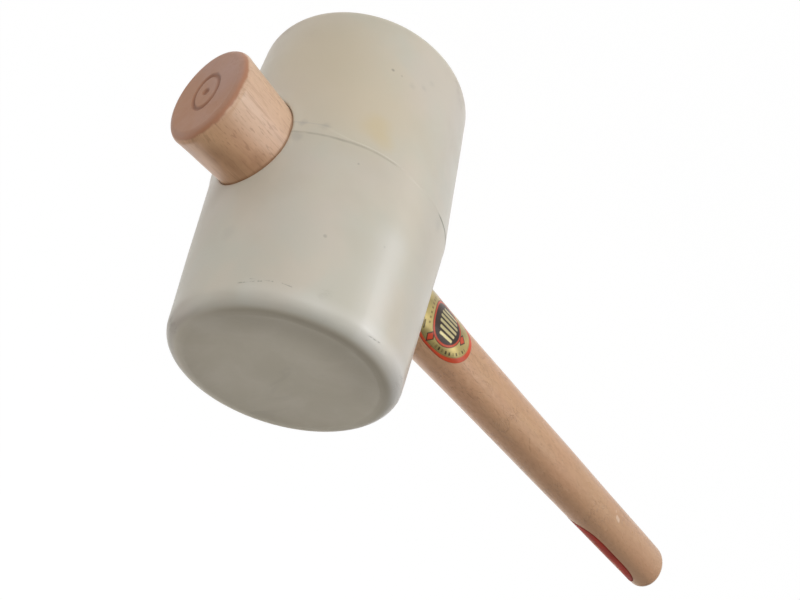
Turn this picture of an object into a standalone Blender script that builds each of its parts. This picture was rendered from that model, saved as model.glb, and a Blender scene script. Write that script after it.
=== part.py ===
"""Rubber mallet: a moulded rubber head on a tapered beech handle.

Frame: metres, +Z up. The origin is the centre of the lower striking face, which the mallet
stands on. The head's axis is +Z. The handle lies along X at half the head's height: its
flared eye end stands out of the head at -X and its grip runs to +X. The foil label faces
+Y and the red grip decal faces -Y.
"""

import math

import bpy
import numpy as np
from mathutils import Matrix

MM = 0.001

# ---- Head, in mm ------------------------------------------------------------------------
HEAD_LENGTH = 138.0  # striking face to striking face
HEAD_HALF = HEAD_LENGTH / 2
HEAD_MID_R = 45.0  # at the mould's parting plane, half way up
HEAD_END_R = 41.45  # where the drafted side would meet the face
RIM_R = 6.0  # rounded edge of each striking face
SIDE_SHARES = (0.72, 0.52, 0.40, 0.30, 0.18, 0.0)  # side points, as shares of HEAD_HALF
HEAD_STEPS = 72

# ---- Handle, in mm; x runs from the eye end to the grip end ------------------------------
HANDLE_HEIGHT = HEAD_HALF  # handle axis above the lower face
HANDLE_STATIONS = (  # x, half depth along Z
    (-67.6, 20.34),
    (-36.0, 18.65),
    (0.0, 16.80),
    (42.75, 14.94),
    (70.0, 14.20),
    (103.0, 13.85),
    (194.0, 13.68),
    (290.0, 13.55),
    (317.0, 13.50),
)
EYE_X = HANDLE_STATIONS[0][0]
GRIP_X = HANDLE_STATIONS[-1][0]
HANDLE_OVAL = 0.83  # width along Y over depth along Z
HANDLE_STEPS = 48
HANDLE_SECTIONS = (  # x of each ring of points between the two rounded-off ends
    285, 258, 226, 194, 163, 133, 103, 86, 70,
    56, 42, 28, 14, 0, -14, -28, -42, -55,
)

GRIP_ROUND = 5.0  # rounded edge of the grip end
GRIP_ROUND_START = 78.0  # degrees: where the rounded edge takes over from the dome
GRIP_DOME = 1.2  # rise of the grip end past its rounded edge
DOME_POINT_R = 4.2  # a point on the dome, and its drop below the dome's top
DOME_POINT_DROP = 0.2

EYE_CHAMFER = 2.0  # broken edge of the eye end, both ways
# The chamfer's corners are worn: (radius, x) steps of three points from each sharp corner.
OUTER_CORNER_WEAR = ((0.0, 0.5), (-0.12, 0.0), (-0.45, -0.42))
INNER_CORNER_WEAR = ((0.42, 0.45), (0.0, 0.12), (-0.5, 0.0))

BORE_GAP = 0.3  # between the handle and the rubber at rest
BORE_SECTIONS = (64, 52, 42, 28, 14, 0, -14, -28, -42, -55, -64)  # x of each ring of points

# ---- Pressed mark on the eye end, in mm: a plain oval ring with a dot ---------------------
MARK_R = 7.6  # along Z
MARK_OVAL = 0.68  # width along Y over depth along Z
MARK_GROOVE_R = 0.7
MARK_DOT_R = 1.4
MARK_DOT_OUT = 0.6  # from the end face out to the centre of the dot's ball

# ---- Label and decal, in mm --------------------------------------------------------------
SHEET_GAP = 0.12  # between a sheet and the wood
SHEET_THICK = 0.12
# side: 1 faces +Y, -1 faces -Y; half_angle: degrees round the handle from that side;
# corner: share of each half side that the corner's curve takes;
# cells: grid cells along and round the handle.
LABEL = dict(centre_x=68.0, half_length=20.5, half_angle=59.0, corner=0.92, side=1, cells=(16, 16))
DECAL = dict(centre_x=268.0, half_length=41.5, half_angle=87.0, corner=0.42, side=-1, cells=(16, 24))

MATERIALS = {
    "white_rubber": dict(colour=(0.62, 0.58, 0.50), roughness=0.5),
    "lacquered_beech": dict(colour=(0.60, 0.38, 0.23), roughness=0.38),
    "gold_foil_print": dict(colour=(0.62, 0.47, 0.16), roughness=0.35, metallic=0.4),
    "red_print": dict(colour=(0.55, 0.06, 0.03), roughness=0.35),
}


# ---- Scene and materials -----------------------------------------------------------------
def clear_scene():
    for obj in list(bpy.data.objects):
        bpy.data.objects.remove(obj, do_unlink=True)
    for mesh in list(bpy.data.meshes):
        bpy.data.meshes.remove(mesh)


def make_collection(name):
    collection = bpy.data.collections.new(name)
    bpy.context.scene.collection.children.link(collection)
    return collection


def take_new_object(name, collection):
    """Names the primitive that was just added and moves it to a collection."""
    obj = bpy.context.active_object
    obj.name = name
    for owner in list(obj.users_collection):
        owner.objects.unlink(obj)
    collection.objects.link(obj)
    return obj


def make_material(name, colour, roughness, metallic=0.0):
    material = bpy.data.materials.new(name)
    material.use_nodes = True
    shader = material.node_tree.nodes["Principled BSDF"]
    shader.inputs["Base Color"].default_value = (*colour, 1.0)
    shader.inputs["Roughness"].default_value = roughness
    shader.inputs["Metallic"].default_value = metallic
    material.diffuse_color = (*colour, 1.0)
    return material


# ---- Shapes ------------------------------------------------------------------------------
def half_depth(x):
    """Half depth of the handle along Z at x: a smooth, falling curve through the stations."""
    xs, depths = np.array(HANDLE_STATIONS).T
    gaps = np.diff(xs)
    slopes = np.diff(depths) / gaps

    # Weighted harmonic means of the neighbouring slopes keep the curve from overshooting.
    before = 2 * gaps[1:] + gaps[:-1]
    after = gaps[1:] + 2 * gaps[:-1]
    inner = (before + after) / (before / slopes[:-1] + after / slopes[1:])
    tangents = np.concatenate((slopes[:1], inner, slopes[-1:]))

    i = int(np.clip(np.searchsorted(xs, x) - 1, 0, len(gaps) - 1))
    gap = gaps[i]
    share = (x - xs[i]) / gap
    rest = 1 - share
    return float(
        depths[i] * (1 + 2 * share) * rest**2
        + gap * tangents[i] * share * rest**2
        + depths[i + 1] * share**2 * (3 - 2 * share)
        - gap * tangents[i + 1] * share**2 * rest
    )


def arc(centre_r, centre_z, radius, start, end, count):
    """Points of an arc in the (radius, height) plane, angles in degrees from +radius."""
    return [
        (centre_r + radius * math.cos(angle), centre_z + radius * math.sin(angle))
        for angle in np.radians(np.linspace(start, end, count))
    ]


def turned(name, profile, steps, collection):
    """A solid of revolution about local Z from (radius, height) points in mm, top to bottom."""
    mesh = bpy.data.meshes.new(name)
    points = [(radius * MM, 0.0, z * MM) for radius, z in profile]
    mesh.from_pydata(points, [(i, i + 1) for i in range(len(points) - 1)], [])
    obj = bpy.data.objects.new(name, mesh)
    collection.objects.link(obj)
    screw = obj.modifiers.new("turn", "SCREW")
    screw.axis = "Z"
    screw.angle = math.tau
    screw.steps = steps
    screw.render_steps = steps
    screw.use_merge_vertices = True
    screw.merge_threshold = 0.00001
    screw.use_smooth_shade = True
    return obj


def cut(target, cutter):
    """Boolean difference, named after the cutter, with the default exact solver."""
    cutter.hide_render = True
    cutter.display_type = "WIRE"
    boolean = target.modifiers.new(cutter.name.replace("_cutter", ""), "BOOLEAN")
    boolean.operation = "DIFFERENCE"
    boolean.object = cutter


def lay_along_x(obj, oval):
    """Turns a shape made about local Z so that its top points to +X, and makes it oval."""
    obj.rotation_euler = (0.0, math.radians(90.0), 0.0)
    obj.scale = (1.0, oval, 1.0)


# ---- Head --------------------------------------------------------------------------------
def head_profile():
    """Outline of the head from the middle of the top face to the middle of the bottom one."""
    taper = HEAD_MID_R - HEAD_END_R
    draft = math.atan(taper / HEAD_HALF)
    # The rim's arc touches both the face and the drafted side.
    rim_centre_r = HEAD_END_R - RIM_R * (1 / math.cos(draft) - math.tan(draft))
    upper = [(0.0, HEAD_HALF)]
    upper += arc(rim_centre_r, HEAD_HALF - RIM_R, RIM_R, 90.0, math.degrees(draft), 8)
    upper += [(HEAD_MID_R - taper * share, HEAD_HALF * share) for share in SIDE_SHARES]
    lower = [(radius, -z) for radius, z in upper[-2::-1]]
    return [(radius, z + HEAD_HALF) for radius, z in upper + lower]


def bore_profile():
    """Outline of the tapered hole through the head, longer than the head is wide."""
    wall = [(half_depth(x) + BORE_GAP, x) for x in BORE_SECTIONS]
    return [(0.0, BORE_SECTIONS[0]), *wall, (0.0, BORE_SECTIONS[-1])]


def build_head(parts, cutters, material):
    head = turned("rubber_head", head_profile(), HEAD_STEPS, parts)
    head.data.materials.append(material)

    bore = turned("bore_cutter", bore_profile(), HANDLE_STEPS, cutters)
    lay_along_x(bore, HANDLE_OVAL)
    bore.location.z = HANDLE_HEIGHT * MM
    cut(head, bore)


# ---- Handle ------------------------------------------------------------------------------
def handle_profile():
    """Outline of the handle from the middle of the grip end to the middle of the eye end."""
    points = [(0.0, GRIP_X), (DOME_POINT_R, GRIP_X - DOME_POINT_DROP)]
    points += arc(
        centre_r=half_depth(GRIP_X) - GRIP_ROUND,
        centre_z=GRIP_X - GRIP_ROUND - GRIP_DOME,
        radius=GRIP_ROUND,
        start=GRIP_ROUND_START,
        end=0.0,
        count=6,
    )
    points += [(half_depth(x), x) for x in HANDLE_SECTIONS]

    outer_x = EYE_X + EYE_CHAMFER
    outer_r = half_depth(outer_x)
    inner_r = outer_r - EYE_CHAMFER
    points += [(outer_r + out, outer_x + along) for out, along in OUTER_CORNER_WEAR]
    points += [(inner_r + out, EYE_X + along) for out, along in INNER_CORNER_WEAR]
    points.append((0.0, EYE_X))
    return points


def make_mark_ring(cutters):
    bpy.ops.mesh.primitive_torus_add(
        major_radius=MARK_R * MM,
        minor_radius=MARK_GROOVE_R * MM,
        major_segments=32,
        minor_segments=8,
    )
    ring = take_new_object("mark_ring_cutter", cutters)
    ring.location = (EYE_X * MM, 0.0, HANDLE_HEIGHT * MM)
    lay_along_x(ring, MARK_OVAL)
    return ring


def make_mark_dot(cutters):
    bpy.ops.mesh.primitive_uv_sphere_add(radius=MARK_DOT_R * MM, segments=16, ring_count=8)
    dot = take_new_object("mark_dot_cutter", cutters)
    dot.location = ((EYE_X - MARK_DOT_OUT) * MM, 0.0, HANDLE_HEIGHT * MM)
    return dot


def build_handle(parts, cutters, frame, material):
    handle = turned("beech_handle", handle_profile(), HANDLE_STEPS, parts)
    handle.data.materials.append(material)
    lay_along_x(handle, HANDLE_OVAL)
    handle.parent = frame
    cut(handle, make_mark_ring(cutters))
    cut(handle, make_mark_dot(cutters))


# ---- Label and decal ---------------------------------------------------------------------
def rounded_square(along, around, corner):
    """Moves a point of the square -1..1 so that the square's corners become curves."""

    def split(value):
        """Sign, part before the corner's curve, and share of the way through the curve."""
        straight = 1.0 - corner
        size = abs(value)
        into_curve = max(size - straight, 0.0) / corner
        return math.copysign(1.0, value), min(size, straight), into_curve

    sign_1, straight_1, curve_1 = split(along)
    sign_2, straight_2, curve_2 = split(around)
    return (
        sign_1 * (straight_1 + corner * curve_1 * math.sqrt(1 - curve_2**2 / 2)),
        sign_2 * (straight_2 + corner * curve_2 * math.sqrt(1 - curve_1**2 / 2)),
    )


def build_sheet(
    name, parts, frame, material, *, centre_x, half_length, half_angle, corner, side, cells
):
    """A thin printed sheet wrapped round one side of the handle."""
    bpy.ops.mesh.primitive_grid_add(x_subdivisions=cells[0], y_subdivisions=cells[1], size=2.0)
    obj = take_new_object(name, parts)
    mesh = obj.data
    mesh.name = name
    for vertex in mesh.vertices:
        along, around = rounded_square(vertex.co.x, vertex.co.y, corner)
        x = centre_x + half_length * along
        angle = math.radians(half_angle) * around
        depth = half_depth(x)
        vertex.co = (
            x * MM,
            side * (HANDLE_OVAL * depth + SHEET_GAP) * math.cos(angle) * MM,
            (HANDLE_HEIGHT + (depth + SHEET_GAP) * math.sin(angle)) * MM,
        )
    mesh.update()

    # The sheet thickens along its normals, so they must point away from the handle.
    middle = min(mesh.polygons, key=lambda face: abs(face.center.z - HANDLE_HEIGHT * MM))
    if middle.normal.y * side < 0:
        mesh.flip_normals()
    solidify = obj.modifiers.new("thickness", "SOLIDIFY")
    solidify.thickness = SHEET_THICK * MM
    solidify.offset = 1.0
    solidify.use_even_offset = True
    mesh.shade_smooth()

    mesh.materials.append(material)
    obj.parent = frame
    # The points already hold the handle's height, so the frame's is undone.
    obj.matrix_parent_inverse = Matrix.Translation((0.0, 0.0, -HANDLE_HEIGHT * MM))


def build():
    clear_scene()
    parts = make_collection("rubber_mallet")
    cutters = make_collection("cutters")
    materials = {name: make_material(name, **look) for name, look in MATERIALS.items()}

    # The handle and its two sheets are parented to this empty on the handle's axis.
    frame = bpy.data.objects.new("handle_frame", None)
    frame.location = (0.0, 0.0, HANDLE_HEIGHT * MM)
    parts.objects.link(frame)

    build_head(parts, cutters, materials["white_rubber"])
    build_handle(parts, cutters, frame, materials["lacquered_beech"])
    build_sheet("foil_label", parts, frame, materials["gold_foil_print"], **LABEL)
    build_sheet("grip_decal", parts, frame, materials["red_print"], **DECAL)


build()
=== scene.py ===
"""The looks of the rubber mallet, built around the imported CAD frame.

Lengths in this file are in millimetres unless a name ends in _m; points are turned into
metres when a mesh is made. The frame: the origin is the centre of the lower striking face,
+Z runs up the head, +X runs along the handle to its grip end, the foil label faces +Y.
"""

import math

import bmesh
import bpy
import numpy as np
from mathutils import Matrix, Vector, noise


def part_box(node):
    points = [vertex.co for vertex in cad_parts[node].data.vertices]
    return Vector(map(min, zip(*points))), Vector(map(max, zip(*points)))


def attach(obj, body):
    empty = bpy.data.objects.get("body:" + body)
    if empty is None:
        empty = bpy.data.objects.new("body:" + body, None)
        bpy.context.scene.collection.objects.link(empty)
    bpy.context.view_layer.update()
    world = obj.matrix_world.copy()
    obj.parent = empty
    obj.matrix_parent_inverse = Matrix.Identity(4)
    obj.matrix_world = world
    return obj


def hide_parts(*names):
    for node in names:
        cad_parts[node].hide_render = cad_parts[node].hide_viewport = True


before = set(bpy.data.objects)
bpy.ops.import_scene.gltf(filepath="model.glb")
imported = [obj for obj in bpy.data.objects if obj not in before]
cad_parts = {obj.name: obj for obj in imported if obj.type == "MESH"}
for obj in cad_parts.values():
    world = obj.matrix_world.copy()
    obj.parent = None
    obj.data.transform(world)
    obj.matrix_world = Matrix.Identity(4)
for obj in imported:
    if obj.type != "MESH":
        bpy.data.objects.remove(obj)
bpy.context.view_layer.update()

MM = 0.001

# ------------------------------------------------------------------ sizes read from the frame
head_lo, head_hi = (np.array(v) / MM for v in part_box("rubber_head"))
handle_lo, handle_hi = (np.array(v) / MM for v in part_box("beech_handle"))
label_lo, label_hi = (np.array(v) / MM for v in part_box("foil_label"))
decal_lo, decal_hi = (np.array(v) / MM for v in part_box("grip_decal"))

HEAD_H = head_hi[2] - head_lo[2]
HALF = HEAD_H / 2
ZC = (head_hi[2] + head_lo[2]) / 2
MID_R = (head_hi[1] - head_lo[1]) / 2
EYE_X, GRIP_X = handle_lo[0], handle_hi[0]
OVAL = (handle_hi[1] - handle_lo[1]) / (handle_hi[2] - handle_lo[2])


def node_points(name):
    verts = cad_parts[name].data.vertices
    co = np.empty(len(verts) * 3)
    verts.foreach_get("co", co)
    return co.reshape(-1, 3) / MM


def monotone(xs, ys):
    """A smooth curve through the points that never overshoots them, as a function of arrays."""
    xs, ys = np.asarray(xs, float), np.asarray(ys, float)
    h = np.diff(xs)
    d = np.diff(ys) / h
    m = np.empty(len(xs))
    m[0], m[-1] = d[0], d[-1]
    for k in range(1, len(xs) - 1):
        if d[k - 1] * d[k] <= 0:
            m[k] = 0.0
        else:
            w1, w2 = 2 * h[k] + h[k - 1], h[k] + 2 * h[k - 1]
            m[k] = (w1 + w2) / (w1 / d[k - 1] + w2 / d[k])

    def curve(x):
        x = np.asarray(x, float)
        k = np.clip(np.searchsorted(xs, x) - 1, 0, len(h) - 1)
        t = (x - xs[k]) / h[k]
        return (
            ys[k] * (1 + 2 * t) * (1 - t) ** 2
            + h[k] * m[k] * t * (1 - t) ** 2
            + ys[k + 1] * t * t * (3 - 2 * t)
            + h[k] * m[k + 1] * t * t * (t - 1)
        )

    return curve


def handle_curve():
    """Half depth of the handle along Z against x, read off the CAD handle's rings."""
    co = node_points("beech_handle")
    rings = {}
    for x, y, z in co:
        rings.setdefault(round(x, 1), []).append((abs(z - ZC), abs(y)))
    xs, rs = [], []
    for x in sorted(rings):
        if EYE_X + 2.5 < x < GRIP_X - 8 and len(rings[x]) >= 40:
            xs.append(x)
            rs.append(max(r for r, _ in rings[x]))
    # straight on to both ends
    slope0 = (rs[1] - rs[0]) / (xs[1] - xs[0])
    slope1 = (rs[-1] - rs[-2]) / (xs[-1] - xs[-2])
    rs = [rs[0] + slope0 * (EYE_X - 5 - xs[0])] + rs + [rs[-1] + slope1 * (GRIP_X + 5 - xs[-1])]
    xs = [EYE_X - 5] + xs + [GRIP_X + 5]
    return monotone(xs, rs)


half_depth = handle_curve()


def head_end_radius():
    """Where the drafted side would meet the face, read off the CAD head."""
    co = node_points("rubber_head")
    r = np.hypot(co[:, 0], co[:, 1])
    up = np.abs(co[:, 2] - ZC)
    side = (r > 0.85 * MID_R) & (up > 0.4 * HALF) & (up < HALF - 5.2)
    slope = np.median((MID_R - r[side]) / up[side])
    return MID_R - slope * HALF


END_R = head_end_radius()
if not MID_R * 0.8 < END_R < MID_R:
    raise ValueError(f"the head's draft could not be read from the frame: {END_R}")
RIM = 6.0


# ------------------------------------------------------------------ helpers
def smooth01(t):
    t = np.clip(t, 0.0, 1.0)
    return t * t * (3 - 2 * t)


def edge(d, width):
    """1 where the signed distance d is negative (inside), 0 outside, over the given width."""
    return smooth01(0.5 - np.asarray(d) / width)


def noise3(points, scale, seed=0.0, detail=3):
    """Fractal noise at each point, about -1..1. scale is the size of a feature in mm."""
    out = np.empty(len(points))
    for i, (x, y, z) in enumerate(points):
        out[i] = noise.fractal(
            Vector((x / scale + seed, y / scale - seed, z / scale + 2 * seed)), 1.0, 2.0, detail
        )
    return out


def make_object(name, verts, faces, body, node=None, smooth=True, attributes=None):
    mesh = bpy.data.meshes.new(name)
    verts = np.asarray(verts, float) * MM
    mesh.from_pydata(verts.tolist(), [], faces)
    mesh.update()
    bm = bmesh.new()
    bm.from_mesh(mesh)
    bmesh.ops.recalc_face_normals(bm, faces=bm.faces)
    bm.to_mesh(mesh)
    bm.free()
    for key, values in (attributes or {}).items():
        values = np.asarray(values, np.float32)
        if values.ndim == 1:
            layer = mesh.attributes.new(key, "FLOAT", "POINT")
            layer.data.foreach_set("value", values)
        else:
            layer = mesh.attributes.new(key, "FLOAT_COLOR", "POINT")
            layer.data.foreach_set("color", values.ravel())
    if smooth:
        mesh.shade_smooth()
    obj = bpy.data.objects.new(name, mesh)
    bpy.context.scene.collection.objects.link(obj)
    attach(obj, body)
    if node:
        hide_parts(node)
    return obj


def strip(a, b, wrap=True):
    """Quads between two rows of point numbers."""
    n = len(a)
    last = n if wrap else n - 1
    return [(a[i], a[(i + 1) % n], b[(i + 1) % n], b[i]) for i in range(last)]


# ------------------------------------------------------------------ the rubber head
def side_radius(s):
    """Radius of the drafted side at height s from the parting plane."""
    return MID_R - (MID_R - END_R) * np.abs(s) / HALF


def near_eye(p_deg):
    """Degrees round the head from the eye end, 0..180, alike on both sides."""
    p = np.mod(p_deg, 360.0)
    return np.minimum(p, 360 - p)


def seam_height(p_deg):
    """How far the parting line wanders up from the middle of the head, in mm."""
    return np.interp(
        near_eye(p_deg),
        [0, 27, 44, 61, 74, 83, 105, 116, 127, 180],
        [-0.6, -0.5, 0.1, 0.0, 0.4, 0.9, 0.6, 0.2, 0.7, 0.0],
    )


def build_head():
    """Rows of points run round the head; two rectangles of that grid give way to rings round the
    oval eye, which turn in over a small lip and join through the bore."""
    draft = math.atan((MID_R - END_R) / HALF)
    rim_r = END_R - RIM * (1 / math.cos(draft) - math.tan(draft))
    # columns, as angles psi with x = -r cos psi, y = r sin psi; patches are centred on 0 and 180
    patch_half = 30.0
    n_patch, n_side = 40, 84
    psi = np.concatenate(
        [
            np.linspace(-patch_half, patch_half, n_patch + 1)[:-1],
            np.linspace(patch_half, 180 - patch_half, n_side + 1)[:-1],
            np.linspace(180 - patch_half, 180 + patch_half, n_patch + 1)[:-1],
            np.linspace(180 + patch_half, 360 - patch_half, n_side + 1)[:-1],
        ]
    )
    n_col = len(psi)
    rad = np.radians(psi)
    # rows of the patch band, close together at the parting line
    above = [v / 5 for v in range(0, 9)] + [2.1, 2.9, 4.2]
    below = [-v / 5 for v in range(1, 8)] + [-1.8, -2.2, -2.7, -3.2, -3.6, -4.0, -4.3, -4.6, -4.9, -5.2, -5.8, -6.8]
    far_up = list(np.linspace(4.2, 28.0, 17)[1:])
    far_down = list(np.linspace(-6.8, -28.0, 15)[1:])
    band = np.array(far_down[::-1] + below[::-1] + above + far_up)
    # rows from the band to the rounded rim
    rim_start = HALF - RIM * (1 - math.sin(draft))
    upper = np.linspace(28.0, rim_start, 24)[1:]
    side_rows = np.concatenate([-upper[::-1], band, upper])

    def flash(s, p_deg):
        """Raised parting line, in mm: a flat band beside the eye that narrows to a ridge."""
        near = near_eye(p_deg)
        wave = 0.88 + 0.12 * np.sin(np.radians(near) * 9 + 0.6)
        at = s - seam_height(p_deg)
        wide = np.interp(near, [20, 34, 41, 48, 60, 180], [4.4, 4.3, 2.2, 1.0, 0.9, 0.8])
        height = np.interp(near, [20, 40, 50, 68, 75, 100, 106, 124, 130, 180], [0.20, 0.30, 0.46, 0.42, 0.07, 0.04, 0.14, 0.14, 0.06, 0.05])
        rise = smooth01((at + wide + 0.35) / 0.7)
        fall = smooth01((0.22 - at) / 0.44)
        return height * wave * rise * fall

    verts, tags = [], []

    def add(points):
        start = len(verts)
        verts.extend(points)
        return list(range(start, start + len(points)))

    def on_side(s, p_deg):
        r = side_radius(s) + flash(s, p_deg)
        a = np.radians(p_deg)
        return np.c_[-r * np.cos(a), r * np.sin(a), ZC + s]

    faces = []
    in_patch = lambda j: (j < n_patch and j > 0) or (n_patch + n_side < j < 2 * n_patch + n_side)
    index = -np.ones((len(side_rows), n_col), int)
    lo_row = int(np.argmin(np.abs(side_rows + 28.0)))
    hi_row = int(np.argmin(np.abs(side_rows - 28.0)))
    for i, s in enumerate(side_rows):
        cols = [j for j in range(n_col) if not (lo_row < i < hi_row and in_patch(j))]
        pts = on_side(np.full(len(cols), s), psi[cols])
        index[i, cols] = add(pts.tolist())
    for i in range(len(side_rows) - 1):
        for j in range(n_col):
            k = (j + 1) % n_col
            quad = (index[i, j], index[i, k], index[i + 1, k], index[i + 1, j])
            inside_a = lo_row <= i < hi_row and j < n_patch
            inside_b = lo_row <= i < hi_row and n_patch + n_side <= j < 2 * n_patch + n_side
            if not (inside_a or inside_b):
                faces.append(quad)

    # rounded rims, land, dished face
    land_r = 34.9

    def sunk(r):
        """How far the worn face lies below the rim's crest: a quick drop, then a shallow bowl."""
        t = max(land_r - 0.5 - r, 0.0)
        return 0.8 * (1 - math.exp(-t / 4.6)) + 0.75 * (1 - (min(r, land_r) / land_r) ** 2)

    for sign, edge_row in ((-1, index[0]), (1, index[-1])):
        prev = list(edge_row)
        profile = []
        for a in np.linspace(math.degrees(draft), 90, 15)[1:]:
            profile.append(
                (rim_r + RIM * math.cos(math.radians(a)), HALF - RIM + RIM * math.sin(math.radians(a)))
            )
        for r in np.concatenate([np.linspace(land_r, 22.0, 26), np.linspace(22.0, 2.0, 13)[1:]]):
            profile.append((r, HALF - sunk(r)))
        for r, s in profile:
            row = add(np.c_[-r * np.cos(rad), r * np.sin(rad), np.full(n_col, ZC + sign * s)].tolist())
            faces.extend(strip(prev, row))
            prev = row
        centre = add([[0.0, 0.0, ZC + sign * (HALF - sunk(0.0))]])[0]
        faces.extend([(prev[j], prev[(j + 1) % n_col], centre) for j in range(n_col)])

    # the eye's mouths: ring points are numbered round by their direction in the y-z plane
    mouth_gap = 0.10
    corner = 50.0
    rings_out = {}
    for mouth in (-1, 1):
        base = 0 if mouth < 0 else n_patch + n_side
        cols = [(base + j) % n_col for j in range(n_patch + 1)]
        if mouth > 0:
            cols = cols[::-1]  # so that y rises along the list on both sides
        # rectangle outline, counter-clockwise in (y, s) from the lower left corner
        outline = [(lo_row, c) for c in cols[:-1]]
        outline += [(i, cols[-1]) for i in range(lo_row, hi_row)]
        outline += [(hi_row, c) for c in cols[:0:-1]]
        outline += [(i, cols[0]) for i in range(hi_row, lo_row, -1)]
        ids = [int(index[i, j]) for i, j in outline]
        sy = []
        for i, j in outline:
            a = psi[j] if mouth < 0 else 180 - psi[j]
            sy.append((a if a <= 180 else a - 360, side_rows[i]))
        sy = np.array(sy)
        sy[:, 0] = (sy[:, 0] + 180) % 360 - 180
        x_mouth = mouth * math.sqrt(MID_R**2 - 15**2)
        b = float(half_depth(x_mouth)) + mouth_gap
        for _ in range(3):  # the mouth's mean x for its own size
            x_mouth = mouth * math.sqrt(MID_R**2 - (0.7 * OVAL * b) ** 2)
            b = float(half_depth(x_mouth)) + mouth_gap
        # direction of each outline point on the oval
        phi = np.empty(len(sy))
        for k, (a, s) in enumerate(sy):
            if abs(abs(a) - patch_half) < 1e-6 and abs(s) < 28 + 1e-9:
                ratio = 28.0 / (b * math.sin(math.radians(corner)))
                t = s / (1 + abs(s) / 28.0 * (ratio - 1))
                p = math.degrees(math.asin(np.clip(t / b, -1, 1)))
                phi[k] = p if a > 0 else 180 - p
            else:
                p = 90 - a / patch_half * (90 - corner)
                phi[k] = p if s > 0 else -p
        ph = np.radians(phi)
        lip = 0.9

        def mouth_point(grow, x_of):
            """Points of the oval grown by grow at the x given by the head's surface there."""
            x_here = np.full(len(ph), x_mouth)
            for _ in range(4):
                bb = half_depth(x_here) + mouth_gap + grow
                y, s = OVAL * (half_depth(x_here) + mouth_gap) * np.cos(ph) + grow * np.cos(ph), bb * np.sin(ph)
                r = side_radius(s)
                x_here = mouth * np.sqrt(np.maximum(r**2 - y**2, 1.0))
            return x_here, y, s

        # outer edge of the lip on the surface, in (a, s) terms
        xo, yo, so = mouth_point(lip, None)
        ao = np.degrees(np.arcsin(np.clip(yo / side_radius(so), -1, 1)))
        prev = ids
        steps = 15
        for q in range(1, steps + 1):
            t = q / steps
            t = 1 - (1 - t) ** 1.25
            a_mix = sy[:, 0] * (1 - t) + ao * t
            s_mix = sy[:, 1] * (1 - t) + so * t
            p_deg = a_mix if mouth < 0 else 180 - a_mix
            pts = on_side(s_mix, p_deg)
            # the rubber is squeezed up a little where the wood passes through
            near = np.hypot(a_mix - ao, s_mix - so)
            swell = 0.35 * np.exp(-((near / 2.6) ** 2))
            pts[:, 0] += mouth * swell
            row = add(pts.tolist())
            faces.extend(strip(prev, row))
            prev = row
        # turn in over the lip
        for ang in np.linspace(0, 90, 7)[1:]:
            g = lip * (1 - math.sin(math.radians(ang)))
            drop = lip * (1 - math.cos(math.radians(ang)))
            x_here, y, s = mouth_point(g, None)
            x_here = x_here + mouth * 0.35 - mouth * drop
            bb = half_depth(x_here) + mouth_gap + g
            y = (OVAL * (half_depth(x_here) + mouth_gap) + g) * np.cos(ph)
            s = bb * np.sin(ph)
            row = add(np.c_[x_here, y, ZC + s].tolist())
            faces.extend(strip(prev, row))
            prev = row
        rings_out[mouth] = (prev, x_here, ph)
    # join the two mouths through the bore
    (a_ids, ax, aph), (b_ids, bx, bph) = rings_out[-1], rings_out[1]
    prev = a_ids
    steps = 24
    for q in range(1, steps):
        t = q / steps
        x_here = ax * (1 - t) + bx * t
        p = np.unwrap(aph) * (1 - t) + np.unwrap(bph) * t
        bb = half_depth(x_here) + mouth_gap + 0.14 * math.sin(math.pi * t)
        row = add(np.c_[x_here, OVAL * bb * np.cos(p), ZC + bb * np.sin(p)].tolist())
        faces.extend(strip(prev, row))
        prev = row
    faces.extend(strip(prev, b_ids))

    verts_a = np.array(verts)
    # slow unevenness of a moulded surface, and none in the bore
    r = np.hypot(verts_a[:, 0], verts_a[:, 1])
    outer = smooth01((r - 36) / 4) * smooth01((HALF - np.abs(verts_a[:, 2] - ZC)) / 4)
    wob = noise3(verts_a, 34.0, 3.1, 2)
    turn = np.degrees(np.arctan2(verts_a[:, 1], -verts_a[:, 0]))
    from_seam = verts_a[:, 2] - ZC - seam_height(turn)
    from_seam = np.where(r > 36, from_seam, 99.0)
    out = verts_a.copy()
    out[:, 0] += verts_a[:, 0] / np.maximum(r, 1) * wob * 0.12 * outer
    out[:, 1] += verts_a[:, 1] / np.maximum(r, 1) * wob * 0.12 * outer
    return make_object(
        "rubber_head_moulding", out, faces, "head", "rubber_head",
        attributes={"from_seam": from_seam, "from_eye": near_eye(turn)},
    )


# ------------------------------------------------------------------ the beech handle
def mark_depth(y, s):
    """Depth of the mark pressed into the eye end: a plain oval ring with a dot, in mm."""
    ring = np.abs(np.hypot(y / 0.68, s) - 7.6) * 0.84
    groove = 0.6 * smooth01((1.05 - ring) / 0.8)
    dot = 0.6 * smooth01((1.8 - np.hypot(y, s)) / 0.9)
    return np.maximum(groove, dot)


def handle_wave(v):
    """Points near the handle's surface, moved in and out with the wood's slow, shallow waves."""
    away = smooth01((v[:, 0] - EYE_X - 4) / 6) * smooth01((GRIP_X - 10 - v[:, 0]) / 8)
    away *= smooth01((np.abs(v[:, 0]) - 52) / 8)  # none inside the head
    w = np.array([noise.noise(Vector((p[0] / 42, p[1] / 14, p[2] / 14))) for p in v]) * 0.12 * away
    rr = np.hypot(v[:, 1] / OVAL, v[:, 2] - ZC) + 1e-6
    v = v.copy()
    v[:, 1] += v[:, 1] / rr * w
    v[:, 2] += (v[:, 2] - ZC) / rr * w
    return v


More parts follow.
